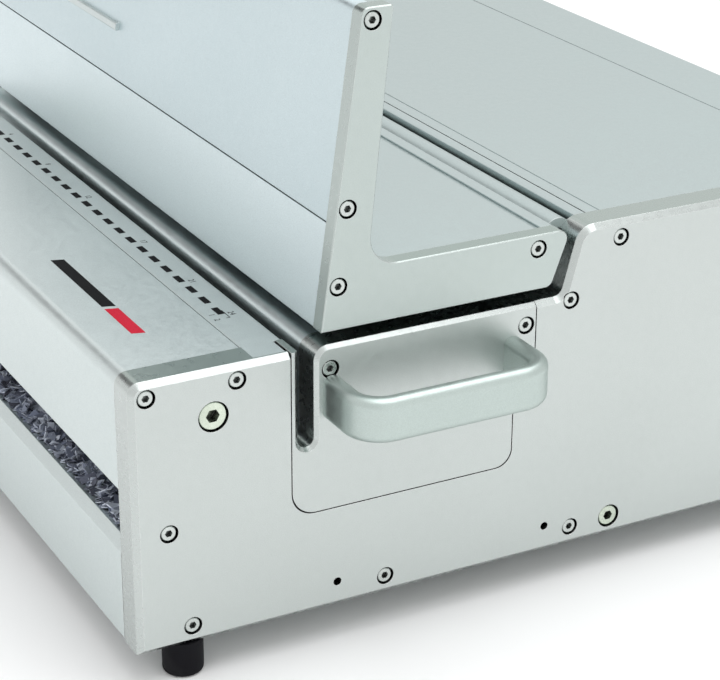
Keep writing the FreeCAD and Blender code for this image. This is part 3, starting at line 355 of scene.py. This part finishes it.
BY_SLOT = {"plate_aluminium": PLATE, "cover_aluminium": COVER, "handle_aluminium": HANDLE,
           "bar_aluminium": MILLED, "ground_steel": GROUND, "screw_steel": SCREW, "bolt_steel": BOLT,
           "bearing_bronze": BRONZE, "foot_rubber": RUBBER, "black_plastic": BLACK, "jack_nickel": NICKEL,
           "button_green": GREEN, "motor_paint": PAINT, "board_green": BOARD, "tray_steel": TRAY,
           "chip_paper": PAPER}
for part in frame["record"]["subparts"]:
    mesh = nodes[part["node"]].data
    mesh.materials.clear()
    mesh.materials.append(BY_SLOT[part["material_slot"]])
# Pieces given lighter or darker copies of their slot's aluminium: the tints are painted light and shade,
# and the throat bar's copy also has a smoother finish of its own.
LOOKS = {THROAT_BAR_LIT: ("throat_bar",), UPPER_PANEL_LIT: ("upper_panel",), LOWER_PANEL_LIT: ("lower_panel",),
         CHEEK_SHADED: ("right_cheek", "left_cheek"),
         TOP_SHADED: ("top_cover", "rear_cover", "lid_deck", "hinge_rail", "lid_hinge_bar")}
for material, names in LOOKS.items():
    for name in names:
        nodes[name].data.materials[0] = material


# ---- printed scale and stripe ----------------------------------------------------------------------
STRIP_LOW, STRIP_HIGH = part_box("ruler_strip")
INK_T = 0.05 * MM
MARK_Y = FRONT + 66.8 * MM
MARK_W, MARK_H = 8.1 * MM, 3.2 * MM
BRACKET = 9.0 * MM                       # reach of the bracket lines past the end marks
LINE = 0.35 * MM
NUMBER_SIZE, END_SIZE = 4.2 * MM, 4.0 * MM
NUMBERED = (24, 21, 17, 12, 8, 4)        # holes whose number is printed


def mark_places():
    first = MIDDLE - PIN_PITCH * (PIN_COUNT - 1) / 2
    return [first + PIN_PITCH * i for i in range(PIN_COUNT)]


def printed_scale():
    """Black hole marks, and thin bracket lines at the paper sizes' ends."""
    bm = bmesh.new()
    top = STRIP_HIGH.z
    places = mark_places()
    for x in places:
        add_prism(bm, rectangle(x - MARK_W / 2, x + MARK_W / 2, MARK_Y - MARK_H / 2, MARK_Y + MARK_H / 2),
                  top - INK_T, top + INK_T)
    y = MARK_Y + MARK_H / 2
    for x, tip in ((places[-1], places[-1] + BRACKET), (places[0], places[0] - BRACKET)):
        x0, x1 = sorted((x, tip))
        add_prism(bm, rectangle(x0, x1, y, y + LINE), top - INK_T, top + INK_T)
        upright = rectangle(tip - LINE / 2, tip + LINE / 2, y - 1.5 * MM, y + LINE)
        add_prism(bm, upright, top - INK_T, top + INK_T)
    obj = new_object("printed_scale", bm, INK)
    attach(obj, "chassis")


def print_number(name, body, x, y, size):
    """Small printed number, made into a thin mesh on the strip."""
    curve = bpy.data.curves.new(name, "FONT")
    curve.body = body
    curve.size = size
    curve.extrude = INK_T / 2
    curve.align_x = "CENTER"
    curve.align_y = "CENTER"
    curve.resolution_u = 2
    source = bpy.data.objects.new(name + "_source", curve)
    mesh = bpy.data.meshes.new_from_object(source)
    bpy.data.objects.remove(source)
    mesh.transform(Matrix.Translation((x, y, STRIP_HIGH.z)))
    mesh.materials.clear()
    mesh.materials.append(INK)
    obj = bpy.data.objects.new(name, mesh)
    bpy.context.scene.collection.objects.link(obj)
    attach(obj, "chassis")


def scale_numbers():
    """Hole numbers behind the marks, and two end numbers in front of the last one."""
    places = mark_places()
    aside = 4.4 * MM
    for hole in NUMBERED:
        x = places[hole - 1] + 5 * MM
        print_number(f"scale_number_{hole}", str(hole), x, MARK_Y + aside, NUMBER_SIZE)
    for text, offset in (("1", 3.0), ("2", 9.0)):
        print_number(f"scale_end_{text}", text, places[-1] + offset * MM, MARK_Y - aside, END_SIZE)


def cover_stripe():
    """Plain two-colour stripe on the front cover, with slanted ends."""
    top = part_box("front_cover")[1].z
    lean = 1.8 * MM
    y0, y1 = FRONT + 23.0 * MM, FRONT + 29.0 * MM
    for name, x0, x1, material in (("black", -150.0, -86.0, INK), ("red", -83.0, -52.0, RED_INK)):
        bm = bmesh.new()
        left, right = RIGHT + x0 * MM, RIGHT + x1 * MM
        add_prism(bm, [(left, y0), (right, y0), (right + lean, y1), (left + lean, y1)],
                  top - INK_T, top + INK_T)
        obj = new_object("cover_stripe_" + name, bm, material)
        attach(obj, "chassis")


# ---- paper chips -----------------------------------------------------------------------------------
HEAP_LOW, HEAP_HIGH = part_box("paper_chips")
COLUMNS, ROWS = 80, 22
INSET = 1.5 * MM                         # of the heap's body from the tray's walls
CHIP_COUNT = 7600
CHIP_LENGTH, CHIP_WIDTH = 8.0 * MM, 3.2 * MM
CHIP_THICK = (0.12, 0.2, 0.5)            # mm: one, two or several sheets stuck together
CHIP_DEPTH = 6.0 * MM                    # the heap's body lies this far under its top


def heap_height(x, y):
    """Top of the heap above its floor, in metres: higher under the chutes, with soft lumps."""
    t = (y - HEAP_LOW.y) / (HEAP_HIGH.y - HEAP_LOW.y)
    rise = 0.87 + 0.13 * math.sin(min(t / 0.48, 1.0) * math.pi / 2)
    fall = max(0.0, (t - 0.5) / 0.5)
    lump = 0.03 * math.sin(x * 95) * math.sin(x * 41 + y * 60) + 0.02 * math.sin(x * 210 + y * 130)
    depth = HEAP_HIGH.z - HEAP_LOW.z
    return depth * max(0.15, min(rise + lump, 1.0) - 0.95 * fall)


def chip_heap():
    """Lumpy closed body of the heap, under the loose chips, coloured near black as painted shade."""
    bm = bmesh.new()
    grid, floor = [], []
    for i in range(COLUMNS + 1):
        x = HEAP_LOW.x + INSET + (HEAP_HIGH.x - HEAP_LOW.x - 2 * INSET) * i / COLUMNS
        line, under = [], []
        for j in range(ROWS + 1):
            y = HEAP_LOW.y + INSET + (HEAP_HIGH.y - HEAP_LOW.y - 2 * INSET) * j / ROWS
            z = HEAP_LOW.z + max(heap_height(x, y) - CHIP_DEPTH, 1.5 * MM)
            line.append(bm.verts.new((x, y, z)))
            under.append(bm.verts.new((x, y, HEAP_LOW.z)))
        grid.append(line)
        floor.append(under)
    for i in range(COLUMNS):
        for j in range(ROWS):
            bm.faces.new((grid[i][j], grid[i + 1][j], grid[i + 1][j + 1], grid[i][j + 1]))
            bm.faces.new((floor[i][j], floor[i][j + 1], floor[i + 1][j + 1], floor[i + 1][j]))
    border = [(i, 0) for i in range(COLUMNS + 1)] + [(COLUMNS, j) for j in range(1, ROWS + 1)]
    border += [(i, ROWS) for i in range(COLUMNS - 1, -1, -1)] + [(0, j) for j in range(ROWS - 1, 0, -1)]
    for (i, j), (k, m) in zip(border, border[1:] + border[:1]):
        bm.faces.new((grid[i][j], floor[i][j], floor[k][m], grid[k][m]))
    return new_object("chip_heap", bm, CHIP_SHADE, smooth=True)


def add_chip(bm, centre, turn, thick, curl):
    """One curled paper chip: a thin closed strip with three cross-sections."""
    rings = []
    for t in (-1, 0, 1):
        lift = curl * t * t * CHIP_LENGTH
        ring = []
        for across, up in ((-1, -1), (1, -1), (1, 1), (-1, 1)):
            point = Vector((t * CHIP_LENGTH / 2, across * CHIP_WIDTH / 2, lift + up * thick / 2))
            ring.append(bm.verts.new(centre + turn @ point))
        rings.append(ring)
    for first, second in zip(rings, rings[1:]):
        for i in range(4):
            j = (i + 1) % 4
            bm.faces.new((first[i], first[j], second[j], second[i]))
    bm.faces.new(list(reversed(rings[0])))
    bm.faces.new(rings[-1])


def loose_chips():
    """Comb hole chips lying every way over the heap."""
    rng = random.Random(11)
    spread = 0.45                        # of the chips' tilts, in radians
    bm = bmesh.new()
    reach = 4.6 * MM
    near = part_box("drawer_front")[0].y + 8.6 * MM
    for _ in range(CHIP_COUNT):
        x = rng.uniform(HEAP_LOW.x + reach, HEAP_HIGH.x - reach)
        y = near + (HEAP_HIGH.y - reach - near) * 0.62 * rng.random() ** 1.5
        z = HEAP_LOW.z + heap_height(x, y) - rng.uniform(0.5, 7.0) * MM
        tilt = Matrix.Rotation(rng.gauss(0, spread), 3, "X") @ Matrix.Rotation(rng.gauss(0, spread), 3, "Y")
        turn = Matrix.Rotation(rng.uniform(0, math.pi), 3, "Z") @ tilt
        thick = rng.choice(CHIP_THICK) * MM
        add_chip(bm, Vector((x, y, z)), turn, thick, rng.uniform(-0.12, 0.16))
    return new_object("loose_chips", bm, PAPER)


def chips():
    for obj in (chip_heap(), loose_chips()):
        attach(obj, "chip_drawer")
        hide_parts("paper_chips")


# ---- studio ----------------------------------------------------------------------------------------
def studio_floor():
    bm = bmesh.new()
    add_prism(bm, rectangle(-6, 6, -6, 6), -0.02, 0.0)
    floor = new_object("studio_floor", bm)
    n = Nodes("studio_floor")
    n.shader.inputs["Base Color"].default_value = (0.93, 0.93, 0.93, 1)
    n.shader.inputs["Roughness"].default_value = 0.9
    n.shader.inputs["Specular IOR Level"].default_value = 0.1
    floor.data.materials.append(n.material)


def dark_flag():
    """Dark card high on the left, which shades the far end of the covers."""
    bm = bmesh.new()
    add_prism(bm, rectangle(-2.62, -2.60, -1.60, -0.3), 1.05, 2.8)
    flag = new_object("dark_flag", bm)
    n = Nodes("dark_flag")
    n.shader.inputs["Base Color"].default_value = (0.05, 0.05, 0.05, 1)
    n.shader.inputs["Roughness"].default_value = 0.9
    flag.data.materials.append(n.material)


def area_light(name, place, target, size, power, colour=(1, 1, 1)):
    light = bpy.data.lights.new(name, "AREA")
    light.shape = "RECTANGLE"
    light.size, light.size_y = size
    light.energy = power
    light.color = colour
    obj = bpy.data.objects.new(name, light)
    obj.location = place
    obj.rotation_euler = (Vector(target) - Vector(place)).to_track_quat("-Z", "Y").to_euler()
    bpy.context.scene.collection.objects.link(obj)


def studio():
    studio_floor()
    dark_flag()
    area_light("overhead", (0.1, 0.3, 1.7), (0, 0, 0.1), (2.0, 1.4), 16, (0.98, 0.99, 1))
    area_light("right_fill", (1.9, 0.2, 0.7), (0, 0, 0.12), (1.6, 1.2), 1.5)
    world = bpy.data.worlds.new("studio")
    world.use_nodes = True
    background = world.node_tree.nodes["Background"]
    background.inputs["Color"].default_value = (1, 1, 1, 1)
    background.inputs["Strength"].default_value = 1.0
    bpy.context.scene.world = world
    bpy.context.scene.view_settings.view_transform = "Standard"


def camera():
    """Close three-quarter view of the right-hand end, from the front and above."""
    azimuth, elevation, roll = (math.radians(a) for a in (61.793, 23.440, 0.310))
    forward = Vector((-math.sin(azimuth) * math.cos(elevation), math.cos(azimuth) * math.cos(elevation),
                      -math.sin(elevation)))
    side = forward.cross(Vector((0, 0, 1))).normalized()
    up = side.cross(forward)
    right = math.cos(roll) * side + math.sin(roll) * up
    up = right.cross(forward)
    data = bpy.data.cameras.new("camera")
    data.sensor_width = 36.0
    data.lens = 110.11
    data.clip_start = 0.01
    obj = bpy.data.objects.new("camera", data)
    turn = Matrix((right, up, -forward)).transposed().to_4x4()
    obj.matrix_world = Matrix.Translation(at(767.5, -304.0, 506.3)) @ turn
    bpy.context.scene.collection.objects.link(obj)
    bpy.context.scene.camera = obj


camera()
studio()
printed_scale()
scale_numbers()
cover_stripe()
chips()
